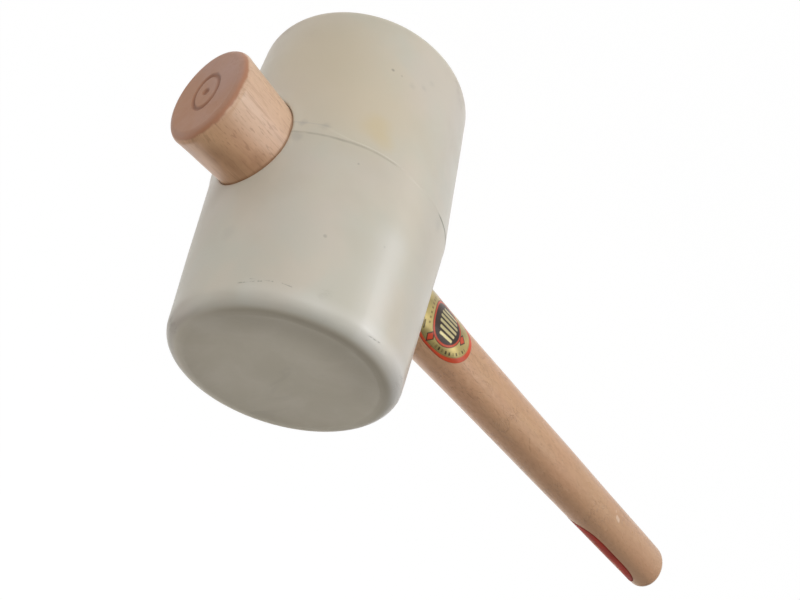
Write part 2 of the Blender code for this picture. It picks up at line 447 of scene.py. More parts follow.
def build_handle():
    n = 144
    ph = np.linspace(0, 2 * np.pi, n, endpoint=False)
    verts, faces, groove = [], [], []

    def add(points, depth=None):
        start = len(verts)
        verts.extend(points)
        groove.extend([0.0] * len(points) if depth is None else list(depth))
        return list(range(start, start + len(points)))

    chamfer, grip_round, dome = 2.0, 5.2, 1.3
    # eye end: rings from the middle of the face to its edge
    r_face = float(half_depth(EYE_X)) - chamfer
    prev = None
    radii = list(np.arange(0.35, r_face - 1.2, 0.27)) + [r_face - 1.2]
    for r in radii:
        inset = r / (r_face - 1.2) * (1 - OVAL) * chamfer
        y, s = (OVAL * r - inset) * np.cos(ph), r * np.sin(ph)
        d = mark_depth(y, s)
        face_dip = 0.10 * (r / r_face) ** 3
        row = add(np.c_[EYE_X + d + face_dip, y, ZC + s].tolist(), d / 0.5)
        if prev is None:
            c = add([[EYE_X + 0.6, 0, ZC]], [1.0])[0]
            faces.extend([(c, row[(i + 1) % n], row[i]) for i in range(n)])
        else:
            faces.extend(strip(prev, row))
        prev = row
    # the chamfer, its two corners worn round
    r_full = float(half_depth(EYE_X + chamfer))
    corners = [(0.0, r_full - chamfer - 1.2), (0.0, r_full - chamfer), (chamfer, r_full), (chamfer + 1.2, r_full)]
    for t in np.linspace(0, 1, 13)[1:]:
        # a quadratic spline through the corner points keeps the flat and both soft edges
        knots = [corners[0], corners[1], corners[2], corners[3]]
        if t < 0.5:
            a, b, c, q = knots[0], knots[1], tuple((np.array(knots[1]) + knots[2]) / 2), t / 0.5
        else:
            a, b, c, q = tuple((np.array(knots[1]) + knots[2]) / 2), knots[2], knots[3], (t - 0.5) / 0.5
        dx, r = (1 - q) ** 2 * np.array(a) + 2 * q * (1 - q) * np.array(b) + q * q * np.array(c)
        x = EYE_X + 0.10 + dx
        row = add(np.c_[np.full(n, x), (OVAL * r_full - (r_full - r)) * np.cos(ph), ZC + r * np.sin(ph)].tolist())
        faces.extend(strip(prev, row))
        prev = row
    x0, x1 = x, GRIP_X - grip_round - dome
    for x in np.concatenate([np.linspace(x0, 48, 78)[1:], np.linspace(48, x1, 190)[1:]]):
        r = float(half_depth(x))
        row = add(np.c_[np.full(n, x), OVAL * r * np.cos(ph), ZC + r * np.sin(ph)].tolist())
        faces.extend(strip(prev, row))
        prev = row
    # grip end: a turned round edge running into a shallow dome
    r1 = float(half_depth(x1))
    for a in np.linspace(0, 76, 15)[1:]:
        x = x1 + grip_round * math.sin(math.radians(a))
        cut_in = grip_round * (1 - math.cos(math.radians(a)))
        row = add(
            np.c_[np.full(n, x), (OVAL * r1 - cut_in) * np.cos(ph), ZC + (r1 - cut_in) * np.sin(ph)].tolist()
        )
        faces.extend(strip(prev, row))
        prev = row
    last_x, ry, rz = x, OVAL * r1 - cut_in, r1 - cut_in
    for t in np.linspace(0, 1, 12)[1:-1]:
        x = last_x + (GRIP_X - last_x) * (1 - (1 - t) ** 2)
        row = add(np.c_[np.full(n, x), ry * (1 - t) * np.cos(ph), ZC + rz * (1 - t) * np.sin(ph)].tolist())
        faces.extend(strip(prev, row))
        prev = row
    c = add([[GRIP_X, 0, ZC]])[0]
    faces.extend([(prev[i], prev[(i + 1) % n], c) for i in range(n)])

    v = np.array(verts)
    # hand-shaped wood is never a perfect oval: slow, shallow waves along it
    v = handle_wave(v)
    return make_object(
        "beech_handle_wood", v, faces, "handle", "beech_handle", attributes={"groove": groove}
    )


# ------------------------------------------------------------------ wrapped printed sheets
def arc_table(a, b, count=721):
    """Arc length round the oval (y = a cos, z = b sin) from phi = 0, for -180..180 degrees."""
    ph = np.linspace(-math.pi, math.pi, count)
    ds = np.hypot(a * np.sin(ph), b * np.cos(ph))
    s = np.concatenate([[0], np.cumsum((ds[1:] + ds[:-1]) / 2 * np.diff(ph))])
    return ph, s - np.interp(0, ph, s)


def build_sheet(name, node, side, box_lo, box_hi, half_s, outline, paint, nx, ns, rise=0.16):
    """A thin sheet on the handle's +Y (side 1) or -Y (side -1) face.

    outline(u, v) maps the square onto the outline in (x, s); paint gives colours there.
    """
    cx, hx = (box_lo[0] + box_hi[0]) / 2, (box_hi[0] - box_lo[0]) / 2
    r_mid = float(half_depth(cx))
    ph_t, s_t = arc_table(OVAL * r_mid, r_mid)
    u, v = np.meshgrid(np.linspace(-1, 1, nx + 1), np.linspace(-1, 1, ns + 1), indexing="ij")
    ou, ov = outline(u.ravel(), v.ravel())
    x, s = cx + hx * ou, half_s * ov
    ph = np.interp(s, s_t, ph_t)
    r = half_depth(x)
    colour, foil = paint(x - cx, s)
    tops, bots = [], []
    for lift, store in ((rise, tops), (0.04, bots)):
        # the edge of a sheet is pressed down to nothing
        rim = np.maximum(np.abs(u.ravel()), np.abs(v.ravel()))
        here = 0.04 + (lift - 0.04) * smooth01((1.0 - rim) / 0.03) if lift > 0.1 else np.full(len(x), lift)
        y = side * (OVAL * r + here) * np.cos(ph)
        z = ZC + (r + here) * np.sin(ph)
        store.append(np.c_[x, y, z])
    top = tops[0]
    idx = np.arange((nx + 1) * (ns + 1)).reshape(nx + 1, ns + 1)
    inner = np.ones_like(idx, bool)
    inner[0], inner[-1], inner[:, 0], inner[:, -1] = False, False, False, False
    # the underside is a copy that shares the rim's points
    bot_index = idx.copy()
    bot_pts = bots[0][inner.ravel()]
    bot_index[inner] = np.arange(len(bot_pts)) + len(top)
    verts = handle_wave(np.vstack([top, bot_pts]))
    faces = []
    for i in range(nx):
        for j in range(ns):
            q = (idx[i, j], idx[i + 1, j], idx[i + 1, j + 1], idx[i, j + 1])
            faces.append(tuple(int(k) for k in q))
            w = (bot_index[i, j], bot_index[i, j + 1], bot_index[i + 1, j + 1], bot_index[i + 1, j])
            faces.append(tuple(int(k) for k in w))
    colours = np.vstack([colour, colour[inner.ravel()]])
    foils = np.concatenate([foil, foil[inner.ravel()]])
    return make_object(
        name, verts, faces, "handle", node, attributes={"ink": np.c_[colours, np.ones(len(colours))], "foil": foils}
    )


def superellipse(power):
    def outline(u, v):
        du, dv = u * np.sqrt(1 - v * v / 2), v * np.sqrt(1 - u * u / 2)
        r = np.hypot(du, dv)
        safe = np.maximum(r, 1e-9)
        c, s = np.abs(du) / safe, np.abs(dv) / safe
        total = c**power + s**power
        reach = np.where(total > 0, total, 1.0) ** (-1 / power)  # the middle point maps to itself
        return du * reach, dv * reach

    return outline


def super_distance(x, s, a, b, power):
    """Rough signed distance in mm to a superellipse with half sizes a and b."""
    k = (np.abs(x / a) ** power + np.abs(s / b) ** power) ** (1 / power)
    grad = np.hypot(x / a**2, s / b**2) / np.maximum(np.hypot(x / a, s / b), 1e-6)
    return (k - 1) / np.maximum(grad, 1e-6)


def srgb(r, g, b):
    def lin(c):
        c = c / 255.0
        return c / 12.92 if c <= 0.04045 else ((c + 0.055) / 1.055) ** 2.4

    return np.array([lin(r), lin(g), lin(b)])


def over(base, colour, mask):
    return base * (1 - mask[:, None]) + colour[None, :] * mask[:, None]


LABEL_A, LABEL_B = (label_hi[0] - label_lo[0]) / 2, 14.4
DECAL_B = 20.8


def segment(x, s, ax, bx, as_, bs):
    """Distance from each point to the segment a-b."""
    dx, ds = bx - ax, bs - as_
    t = np.clip(((x - ax) * dx + (s - as_) * ds) / (dx * dx + ds * ds), 0, 1)
    return np.hypot(x - ax - t * dx, s - as_ - t * ds)


def paint_label(x, s):
    """Print of the foil label in its flat coordinates. Every figure in it is a plain shape."""
    gold, red, dark = srgb(200, 180, 116), srgb(206, 70, 30), srgb(46, 27, 14)
    n = len(x)
    colour = np.tile(gold, (n, 1))
    # the foil is brushed: brighter bands across it; painted shade darkens it to olive towards its +Z side
    band = 0.5 + 0.5 * np.sin(x * 0.55 + s * 0.35 + 1.2 * np.sin(s * 0.45))
    colour = colour * (0.80 + 0.26 * band)[:, None]
    colour = over(colour, srgb(120, 106, 58), 0.40 * smooth01((s - 5.0) / 8.0))
    foil = np.ones(n)
    outer = super_distance(x, s, LABEL_A, LABEL_B, 2.5)
    # orange-red border, wider at the grip side
    width = 1.2 + 1.15 * smooth01(x / 18)
    border = edge(-(outer + width), 0.3)
    tint = srgb(205, 84, 44) * 0.35 + red * 0.65
    colour = over(colour, red, border)
    colour = over(colour, tint, edge(-(outer + 0.55), 0.5) * 0.8)
    foil *= 1 - border
    # a thin dark line inside the border
    hair = edge(np.abs(outer + width + 0.28) - 0.10, 0.25) * 0.45
    colour = over(colour, dark, hair)
    # small print is only ever a row of plain ticks: one row follows the border ...
    ring = outer + width + 1.55
    ang = np.degrees(np.arctan2(s / LABEL_B, x / LABEL_A))
    beat = 0.5 + 0.5 * np.sin(np.radians(ang) * 47.0)
    bold = 0.35 + 0.65 * (np.sin(np.radians(ang) * 19.0 + 0.7) > -0.55)
    zone = smooth01((ang - 16) / 3) * smooth01((94 - ang) / 4)
    ticks = edge(np.abs(ring) - 0.72, 0.25) * smooth01((beat - 0.42) / 0.3) * bold * zone
    colour = over(colour, dark, ticks * 0.85)
    # ... and a fainter one runs beside the medallion on the head side
    mx, ms = x - 1.0, s - 0.45
    med = super_distance(mx, ms, 9.4, 8.7, 2.1)
    mang = np.degrees(np.arctan2(ms, -mx))
    beat = 0.5 + 0.5 * np.sin(np.radians(mang) * 38.0)
    row = edge(np.abs(med - 2.9) - 0.55, 0.25) * smooth01((beat - 0.45) / 0.3) * smooth01((38 - np.abs(mang)) / 5)
    colour = over(colour, dark, row * 0.55)
    # a dark figure near the head: three slanting dashes
    for k in range(3):
        d = segment(x, s, -15.2 + 1.5 * k, -13.6 + 1.5 * k, 6.6 + 0.5 * k, 9.4 + 0.3 * k)
        colour = over(colour, dark, edge(d - 0.45, 0.25) * 0.8)
    # medallion: a dark oval in a red ring with dark lines, and small red lozenges round it
    for cx, cs in ((-4.7, 10.6), (12.6, 0.9), (-4.7, -9.8)):
        lozenge = (np.abs(x - cx) + np.abs(s - cs) * 0.9 - 2.0) * 0.74
        colour = over(colour, dark, edge(lozenge - 0.38, 0.25))
        colour = over(colour, red, edge(lozenge + 0.12, 0.25))
        foil *= 1 - edge(lozenge - 0.38, 0.25)
    colour = over(colour, dark, edge(med - 1.05, 0.25))
    colour = over(colour, red, edge(med - 0.75, 0.25))
    colour = over(colour, dark * 0.6 + srgb(120, 26, 18) * 0.4, edge(med + 0.1, 0.25))
    colour = over(colour, dark, edge(med + 0.35, 0.25))
    foil *= 1 - edge(med - 1.05, 0.25)
    # inside: plain bars of unequal length, side by side
    bars = np.zeros(n)
    for k, (lo, hi) in enumerate(((-3.0, 6.9), (-4.6, 7.0), (-5.2, 7.4), (-5.0, 7.2), (-3.8, 6.6), (-2.4, 6.3))):
        c = -5.2 + k * 2.22
        bar = segment(x, s, lo + 1.0, hi + 0.2, c + 0.35, c - 0.25) - 0.62
        bars = np.maximum(bars, edge(bar, 0.25))
    colour = over(colour, srgb(212, 200, 150), bars)
    foil = np.maximum(foil, bars * 0.9)
    return colour, foil


def paint_decal(x, s):
    a = (decal_hi[0] - decal_lo[0]) / 2
    red, dark = srgb(176, 47, 18), srgb(104, 22, 14)
    outer = super_distance(x, s, a, DECAL_B, 4.0)
    colour = np.tile(red, (len(x), 1))
    colour = over(colour, dark, edge(-(outer + 0.7), 0.5) * 0.45)
    inner = edge(np.abs(outer + 6.2) - 0.28, 0.25)
    colour = over(colour, srgb(206, 186, 128), inner * 0.9)
    return colour, inner


# ------------------------------------------------------------------ materials
class Tree:
    """A short way to write a node tree."""

    def __init__(self, name):
        self.material = bpy.data.materials.new(name)
        self.material.use_nodes = True
        self.tree = self.material.node_tree
        self.tree.nodes.clear()
        self.out = self.tree.nodes.new("ShaderNodeOutputMaterial")

    def put(self, socket, value):
        if hasattr(value, "links") or isinstance(value, bpy.types.NodeSocket):
            self.tree.links.new(value, socket)
        elif value is not None:
            try:
                socket.default_value = value
            except TypeError:
                socket.default_value = (*value, 1.0)
            except ValueError:
                socket.default_value = (*value, 1.0)

    def node(self, kind, settings=None, inputs=None, out=0):
        made = self.tree.nodes.new(kind)
        for key, value in (settings or {}).items():
            setattr(made, key, value)
        for key, value in (inputs or {}).items():
            self.put(made.inputs[key], value)
        return made.outputs[out]

    def math(self, operation, a, b=None, c=None, clamp=False):
        made = self.tree.nodes.new("ShaderNodeMath")
        made.operation = operation
        made.use_clamp = clamp
        for i, value in enumerate((a, b, c)):
            if value is not None:
                self.put(made.inputs[i], value)
        return made.outputs[0]

    def vmath(self, operation, a, b=None, out=0):
        made = self.tree.nodes.new("ShaderNodeVectorMath")
        made.operation = operation
        for i, value in enumerate((a, b)):
            if value is not None:
                self.put(made.inputs[i], value)
        return made.outputs[out]

    def ramp(self, value, lo, hi, to_lo=0.0, to_hi=1.0, smooth=True):
        made = self.tree.nodes.new("ShaderNodeMapRange")
        made.interpolation_type = "SMOOTHSTEP" if smooth else "LINEAR"
        made.clamp = True
        for key, v in zip(("Value", "From Min", "From Max", "To Min", "To Max"), (value, lo, hi, to_lo, to_hi)):
            self.put(made.inputs[key], v)
        return made.outputs[0]

    def mix(self, factor, a, b, blend="MIX"):
        made = self.tree.nodes.new("ShaderNodeMix")
        made.data_type = "RGBA"
        made.blend_type = blend
        self.put(made.inputs[0], factor)
        self.put(made.inputs[6], a)
        self.put(made.inputs[7], b)
        return made.outputs[2]

    def coords(self, scale=(1, 1, 1), offset=(0, 0, 0)):
        base = self.node("ShaderNodeTexCoord", out=3)
        return self.node(
            "ShaderNodeMapping", inputs={"Vector": base, "Scale": scale, "Location": offset}
        )

    def noise(self, vector, scale, detail=3.0, rough=0.5, distort=0.0):
        return self.node(
            "ShaderNodeTexNoise",
            inputs={"Vector": vector, "Scale": scale, "Detail": detail, "Roughness": rough, "Distortion": distort},
        )

    def bump(self, height, distance, strength=1.0, normal=None):
        return self.node(
            "ShaderNodeBump",
            inputs={"Height": height, "Distance": distance, "Strength": strength, "Normal": normal},
        )

    def spot(self, centre, radius, wobble=0.0, soft=0.5):
        """1 inside a soft-edged ball at centre (mm), 0 outside."""
        base = self.node("ShaderNodeTexCoord", out=3)
        d = self.vmath("DISTANCE", base, [c * MM for c in centre], out=1)
        if wobble:
            n = self.noise(base, 1 / (radius * 1.1 * MM), 3.0)
            d = self.math("ADD", d, self.math("MULTIPLY", self.math("SUBTRACT", n, 0.5), wobble * MM))
        return self.ramp(d, radius * MM * (1 - soft), radius * MM, 1.0, 0.0)

    def stroke(self, a, b, width, soft=0.6):
        """1 within width (mm) of the segment from a to b (mm), fading outwards."""
        base = self.node("ShaderNodeTexCoord", out=3)
        a, b = Vector(a) * MM, Vector(b) * MM
        rel = self.vmath("SUBTRACT", base, tuple(a))
        along = self.vmath("DOT_PRODUCT", rel, tuple((b - a) / (b - a).length_squared), out=1)
        along = self.math("MINIMUM", self.math("MAXIMUM", along, 0.0), 1.0)
        step = self.tree.nodes.new("ShaderNodeVectorMath")
        step.operation = "SCALE"
        step.inputs[0].default_value = tuple(b - a)
        self.put(step.inputs["Scale"], along)
        d = self.vmath("LENGTH", self.vmath("SUBTRACT", rel, step.outputs[0]), out=1)
        return self.ramp(d, width * MM * (1 - soft), width * MM, 1.0, 0.0)

    def value(self, name):
        return self.node("ShaderNodeAttribute", {"attribute_name": name}, out=2)

    def finish(self, shader):
        self.tree.links.new(shader, self.out.inputs["Surface"])
        return self.material


def grey(v):
    return (v, v, v)


def rubber_material():
    t = Tree("white_rubber")
    base = t.coords()
    xyz = t.tree.nodes.new("ShaderNodeSeparateXYZ")
    t.put(xyz.inputs[0], base)
    x, y, z = xyz.outputs
    # slow blotches of the compound: warm beige, greenish grey, pinkish grey
    blot_a = t.ramp(t.noise(base, 30.0, 3.0, 0.55, 0.4), 0.38, 0.62)
    blot_b = t.ramp(t.noise(t.coords(offset=(0.3, 0.1, 0.7)), 26.0, 3.0, 0.5, 0.3), 0.42, 0.66)
    blot_c = t.ramp(t.noise(t.coords(offset=(0.9, 0.5, 0.2)), 44.0, 3.0, 0.5), 0.45, 0.70)
    colour = t.mix(blot_a, tuple(srgb(205, 197, 181)), tuple(srgb(200, 196, 182)))
    colour = t.mix(t.math("MULTIPLY", blot_b, 0.6), colour, tuple(srgb(206, 195, 182)))
    colour = t.mix(t.math("MULTIPLY", blot_c, 0.4), colour, tuple(srgb(197, 188, 171)))
    # yellowed patch high on the visible side and a broad warmer zone round it
    wide = t.spot((-28, 32, ZC - 20), 34, 16, 0.9)
    colour = t.mix(t.math("MULTIPLY", wide, 0.75), colour, tuple(srgb(207, 193, 168)))
    high = t.spot((-38, 14, ZC - 44), 34, 14, 0.9)
    colour = t.mix(t.math("MULTIPLY", high, 0.75), colour, tuple(srgb(202, 189, 164)))
    patch = t.spot((-24.3, 37.2, ZC - 11.2), 8.5, 5, 0.85)
    colour = t.mix(t.math("MULTIPLY", patch, 0.55), colour, tuple(srgb(206, 188, 149)))
    # painted highlight: whiter rubber down the label side and round that part of the rim
    painted_highlight = t.stroke((-7.6, 42.9, ZC + 30), (-6.5, 41.5, ZC + 62), 11.0, 0.95)
    colour = t.mix(t.math("MULTIPLY", painted_highlight, 0.36), colour, tuple(srgb(224, 221, 216)))
    painted_highlight = t.stroke((-8.0, 40.6, ZC + 65), (11.0, 40.2, ZC + 65), 7.0, 0.9)
    painted_highlight = t.math("MAXIMUM", painted_highlight, t.stroke((11.0, 40.2, ZC + 65), (26.0, 32.0, ZC + 65), 7.0, 0.9))
    painted_highlight = t.math(
        "MAXIMUM", painted_highlight, t.math("MULTIPLY", t.stroke((-10.0, 40.0, ZC + 65), (-24.0, 33.0, ZC + 65), 6.0, 0.9), 0.6)
    )
    painted_highlight = t.math(
        "MAXIMUM", painted_highlight, t.math("MULTIPLY", t.stroke((-24.0, 33.0, ZC + 64.5), (-37.0, 16.0, ZC + 64.5), 6.5, 0.9), 0.55)
    )
    colour = t.mix(t.math("MULTIPLY", painted_highlight, 0.45), colour, tuple(srgb(226, 223, 218)))
    tail = t.spot((-21.3, 39.3, ZC - 6.6), 6.0, 4, 0.9)
    colour = t.mix(t.math("MULTIPLY", tail, 0.35), colour, tuple(srgb(206, 188, 149)))
    # grey handling marks beside the eye and along the parting line
    for centre, size, amount in (
        ((-40.6, 18.8, ZC - 4.8), 2.4, 0.34),
        ((-36.7, 25.6, ZC - 4.5), 2.6, 0.26),
        ((-41.0, 18.5, ZC + 1.4), 3.0, 0.28),
        ((-30.0, -33.0, ZC + 20), 9.0, 0.14),
        ((20.0, -40.0, ZC - 30), 12.0, 0.12),
        ((-16.0, 39.9, ZC - 39.3), 2.2, 0.16),
        ((-11.2, 41.3, ZC - 42.6), 2.0, 0.16),
        ((-8.2, 41.8, ZC - 47.8), 2.2, 0.14),
        ((-42.8, 2.9, ZC + 40.7), 4.0, 0.10),
        ((11.7, 43.4, ZC + 4.0), 4.0, 0.14),
    ):
        mark = t.spot(centre, size, size * 0.9, 0.9)
        colour = t.mix(t.math("MULTIPLY", mark, amount), colour, tuple(srgb(150, 146, 142)))
    # grime and painted shadow under the parting line beside the eye, and a hair line far round on each side
    from_seam, from_eye = t.value("from_seam"), t.value("from_eye")
    beside = t.ramp(from_eye, 42.0, 56.0, 1.0, 0.0)
    below = t.ramp(t.math("ABSOLUTE", t.math("SUBTRACT", from_seam, 0.30)), 0.10, 0.50, 1.0, 0.0)
    blown = t.ramp(t.noise(t.coords(offset=(0.2, 0.6, 0)), 160.0, 3.0), 0.34, 0.56, 0.35, 1.0)
    seam_grime_and_shadow = t.math("MULTIPLY", t.math("MULTIPLY", below, beside), blown)
    colour = t.mix(t.math("MULTIPLY", seam_grime_and_shadow, 0.26), colour, tuple(srgb(128, 122, 108)))
    upper_line = t.ramp(t.math("ABSOLUTE", t.math("ADD", from_seam, 4.4)), 0.15, 0.65, 1.0, 0.0)
    upper_line = t.math("MULTIPLY", t.math("MULTIPLY", upper_line, t.ramp(from_eye, 34.0, 40.0, 1.0, 0.0)), blown)
    colour = t.mix(t.math("MULTIPLY", upper_line, 0.22), colour, tuple(srgb(140, 136, 130)))
    far = t.math("MULTIPLY", t.ramp(from_eye, 101.0, 106.0), t.ramp(from_eye, 119.0, 128.0, 1.0, 0.0))
    hair = t.ramp(t.math("ABSOLUTE", t.math("SUBTRACT", from_seam, 0.1)), 0.10, 0.42, 1.0, 0.0)
    hair = t.math("MULTIPLY", t.math("MULTIPLY", hair, far), t.ramp(y, 0.0, 0.02, 0.25, 1.0))
    colour = t.mix(t.math("MULTIPLY", hair, 0.62), colour, tuple(srgb(112, 110, 94)))
    # small dark specks: fixed ones and a sprinkle of fainter ones
    for centre, size, amount in (
        ((-23.4, 35.9, ZC - 41.5), 0.85, 0.42),
        ((-20.2, 37.8, ZC - 40.9), 0.6, 0.20),
        ((-28.4, 32.3, ZC + 39.2), 0.9, 0.26),
        ((-26.6, 35.9, ZC + 7.2), 0.55, 0.30),
    ):
        speck = t.spot(centre, size, size * 0.6, 0.6)
        colour = t.mix(t.math("MULTIPLY", speck, amount), colour, tuple(srgb(92, 82, 68)))
    cells = t.node(
        "ShaderNodeTexVoronoi", {"feature": "F1"}, {"Vector": base, "Scale": 95.0, "Randomness": 1.0}
    )
    cell_colour = t.tree.nodes[-1].outputs["Color"]
    lucky = t.math("GREATER_THAN", cell_colour, 0.86)
    dots = t.math("MULTIPLY", t.ramp(cells, 0.02, 0.06, 1.0, 0.0), lucky)
    colour = t.mix(t.math("MULTIPLY", dots, 0.22), colour, tuple(srgb(120, 114, 104)))
    # the striking faces are greyer: dust and use
    height = t.math("ABSOLUTE", t.math("SUBTRACT", z, ZC * MM))
    radius = t.math("SQRT", t.math("ADD", t.math("MULTIPLY", x, x), t.math("MULTIPLY", y, y)))
    face = t.ramp(height, (HALF - 3.6) * MM, (HALF - 2.4) * MM)
    face = t.math("MULTIPLY", face, t.ramp(radius, 36.6 * MM, 39.4 * MM, 1.0, 0.0))
    # grime in fine scratches round the side just behind the rims
    scratch = t.noise(t.coords(scale=(1, 1, 5.5), offset=(0.2, 0, 0)), 150.0, 6.0, 0.7, 1.2)
    near_rim = t.ramp(height, (HALF - 22) * MM, (HALF - 6) * MM)
    lines = t.ramp(t.math("ABSOLUTE", t.math("SUBTRACT", scratch, 0.5)), 0.0, 0.012, 1.0, 0.0)
    broken = t.ramp(t.noise(t.coords(offset=(0, 0.4, 0)), 55.0, 2.0), 0.60, 0.72)
    scuff = t.math("MULTIPLY", t.math("MULTIPLY", lines, broken), t.math("ADD", near_rim, 0.15))
    scuff = t.math("MULTIPLY", scuff, t.math("SUBTRACT", 1.0, face))
    # scratches behind the visible rim, and one along its right side
    ragged = t.ramp(t.noise(t.coords(offset=(0.7, 0.1, 0)), 700.0, 3.0, 0.6), 0.40, 0.56)
    drawn = None
    for a, b, w in (
        ((-39.9, 12.5, ZC + 62.1), (-37.0, 19.6, ZC + 61.0), 0.34),
        ((-38.6, 16.0, ZC + 60.4), (-35.2, 22.7, ZC + 60.6), 0.26),
        ((-33.5, 25.1, ZC + 60.6), (-31.2, 27.9, ZC + 61.2), 0.24),
        ((-9.0, 40.7, ZC + 65.6), (-2.0, 41.5, ZC + 64.8), 0.30),
        ((-2.0, 41.5, ZC + 64.8), (8.6, 40.7, ZC + 61.6), 0.26),
    ):
        one = t.stroke(a, b, w, 0.7)
        drawn = one if drawn is None else t.math("MAXIMUM", drawn, one)
    drawn = t.math("MULTIPLY", drawn, ragged)
    colour = t.mix(t.math("MULTIPLY", scuff, 0.22), colour, tuple(srgb(128, 122, 110)))
    colour = t.mix(t.math("MULTIPLY", drawn, 0.42), colour, tuple(srgb(112, 106, 96)))
    worn = t.ramp(t.noise(t.coords(scale=(1, 0.7, 1), offset=(0.1, 0.2, 0.3)), 60.0, 5.0, 0.6, 0.6), 0.35, 0.7)
    dull = t.mix(worn, tuple(srgb(205, 195, 174)), tuple(srgb(213, 203, 184)))
    colour = t.mix(t.math("MULTIPLY", face, 0.85), colour, dull)
    rubbed = t.ramp(t.noise(t.coords(scale=(1.0, 0.35, 1), offset=(0.5, 0.2, 0.3)), 95.0, 5.0, 0.65, 0.8), 0.55, 0.72)
    rubbed = t.math("MULTIPLY", rubbed, face)
    colour = t.mix(t.math("MULTIPLY", rubbed, 0.13), colour, tuple(srgb(150, 143, 130)))
    # dust and painted shade just inside the rim, most of it on the label side
    lean = t.math("ADD", t.math("MULTIPLY", x, -0.5), t.math("MULTIPLY", y, 0.87))
    lean = t.ramp(lean, -0.012, 0.032)
    dust_and_shade = t.math("MULTIPLY", t.math("MULTIPLY", t.ramp(radius, 0.014, 0.033), lean), face)
    colour = t.mix(t.math("MULTIPLY", dust_and_shade, 0.56), colour, tuple(srgb(154, 144, 125)))
    # painted shade: the rim on the side away from the label is darkened, and the flank towards the grip is painted
    # cooler and greyer
    side = t.math("ADD", t.math("MULTIPLY", x, 0.606), t.math("MULTIPLY", y, 0.796))
    painted_rim_shade = t.math("MULTIPLY", t.ramp(side, -0.022, -0.036), t.ramp(height, (HALF - 9) * MM, (HALF - 3) * MM))
    painted_rim_shade = t.math("MULTIPLY", painted_rim_shade, t.math("SUBTRACT", 1.0, t.math("MULTIPLY", face, 0.7)))
    colour = t.mix(painted_rim_shade, colour, (0.86, 0.835, 0.84), "MULTIPLY")
    colour = t.mix(t.ramp(side, 0.034, 0.041), colour, (0.955, 0.965, 0.995), "MULTIPLY")
    # roughness: satin, uneven
    rough = t.ramp(t.noise(t.coords(offset=(0.6, 0, 0)), 70.0, 4.0, 0.6), 0.3, 0.7, 0.28, 0.38)
    rough = t.math("ADD", rough, t.math("MULTIPLY", face, 0.24))
    rough = t.math("ADD", rough, t.math("MULTIPLY", scuff, 0.2))
    # bump: slow flow marks, a fine skin, the scratches
    slow = t.noise(t.coords(scale=(1, 1, 0.6)), 55.0, 3.0, 0.5, 0.5)
    skin = t.noise(t.coords(), 1500.0, 2.0, 0.5)
    n1 = t.bump(slow, 0.0006, 0.28)
    n2 = t.bump(skin, 0.00005, 0.5, n1)
    cuts = t.math("MAXIMUM", scuff, drawn)
    n3 = t.bump(t.math("SUBTRACT", 1.0, cuts), 0.00010, 0.8, n2)
    worn_face = t.math("MULTIPLY", t.noise(t.coords(), 160.0, 5.0, 0.65, 0.8), face)
    n4 = t.bump(worn_face, 0.00022, 0.5, n3)
    shader = t.node(
        "ShaderNodeBsdfPrincipled",
        inputs={
            "Base Color": colour,
            "Roughness": rough,
            "IOR": 1.5,
            "Specular IOR Level": 0.5,
            "Normal": n4,
        },
    )
    return t.finish(shader)


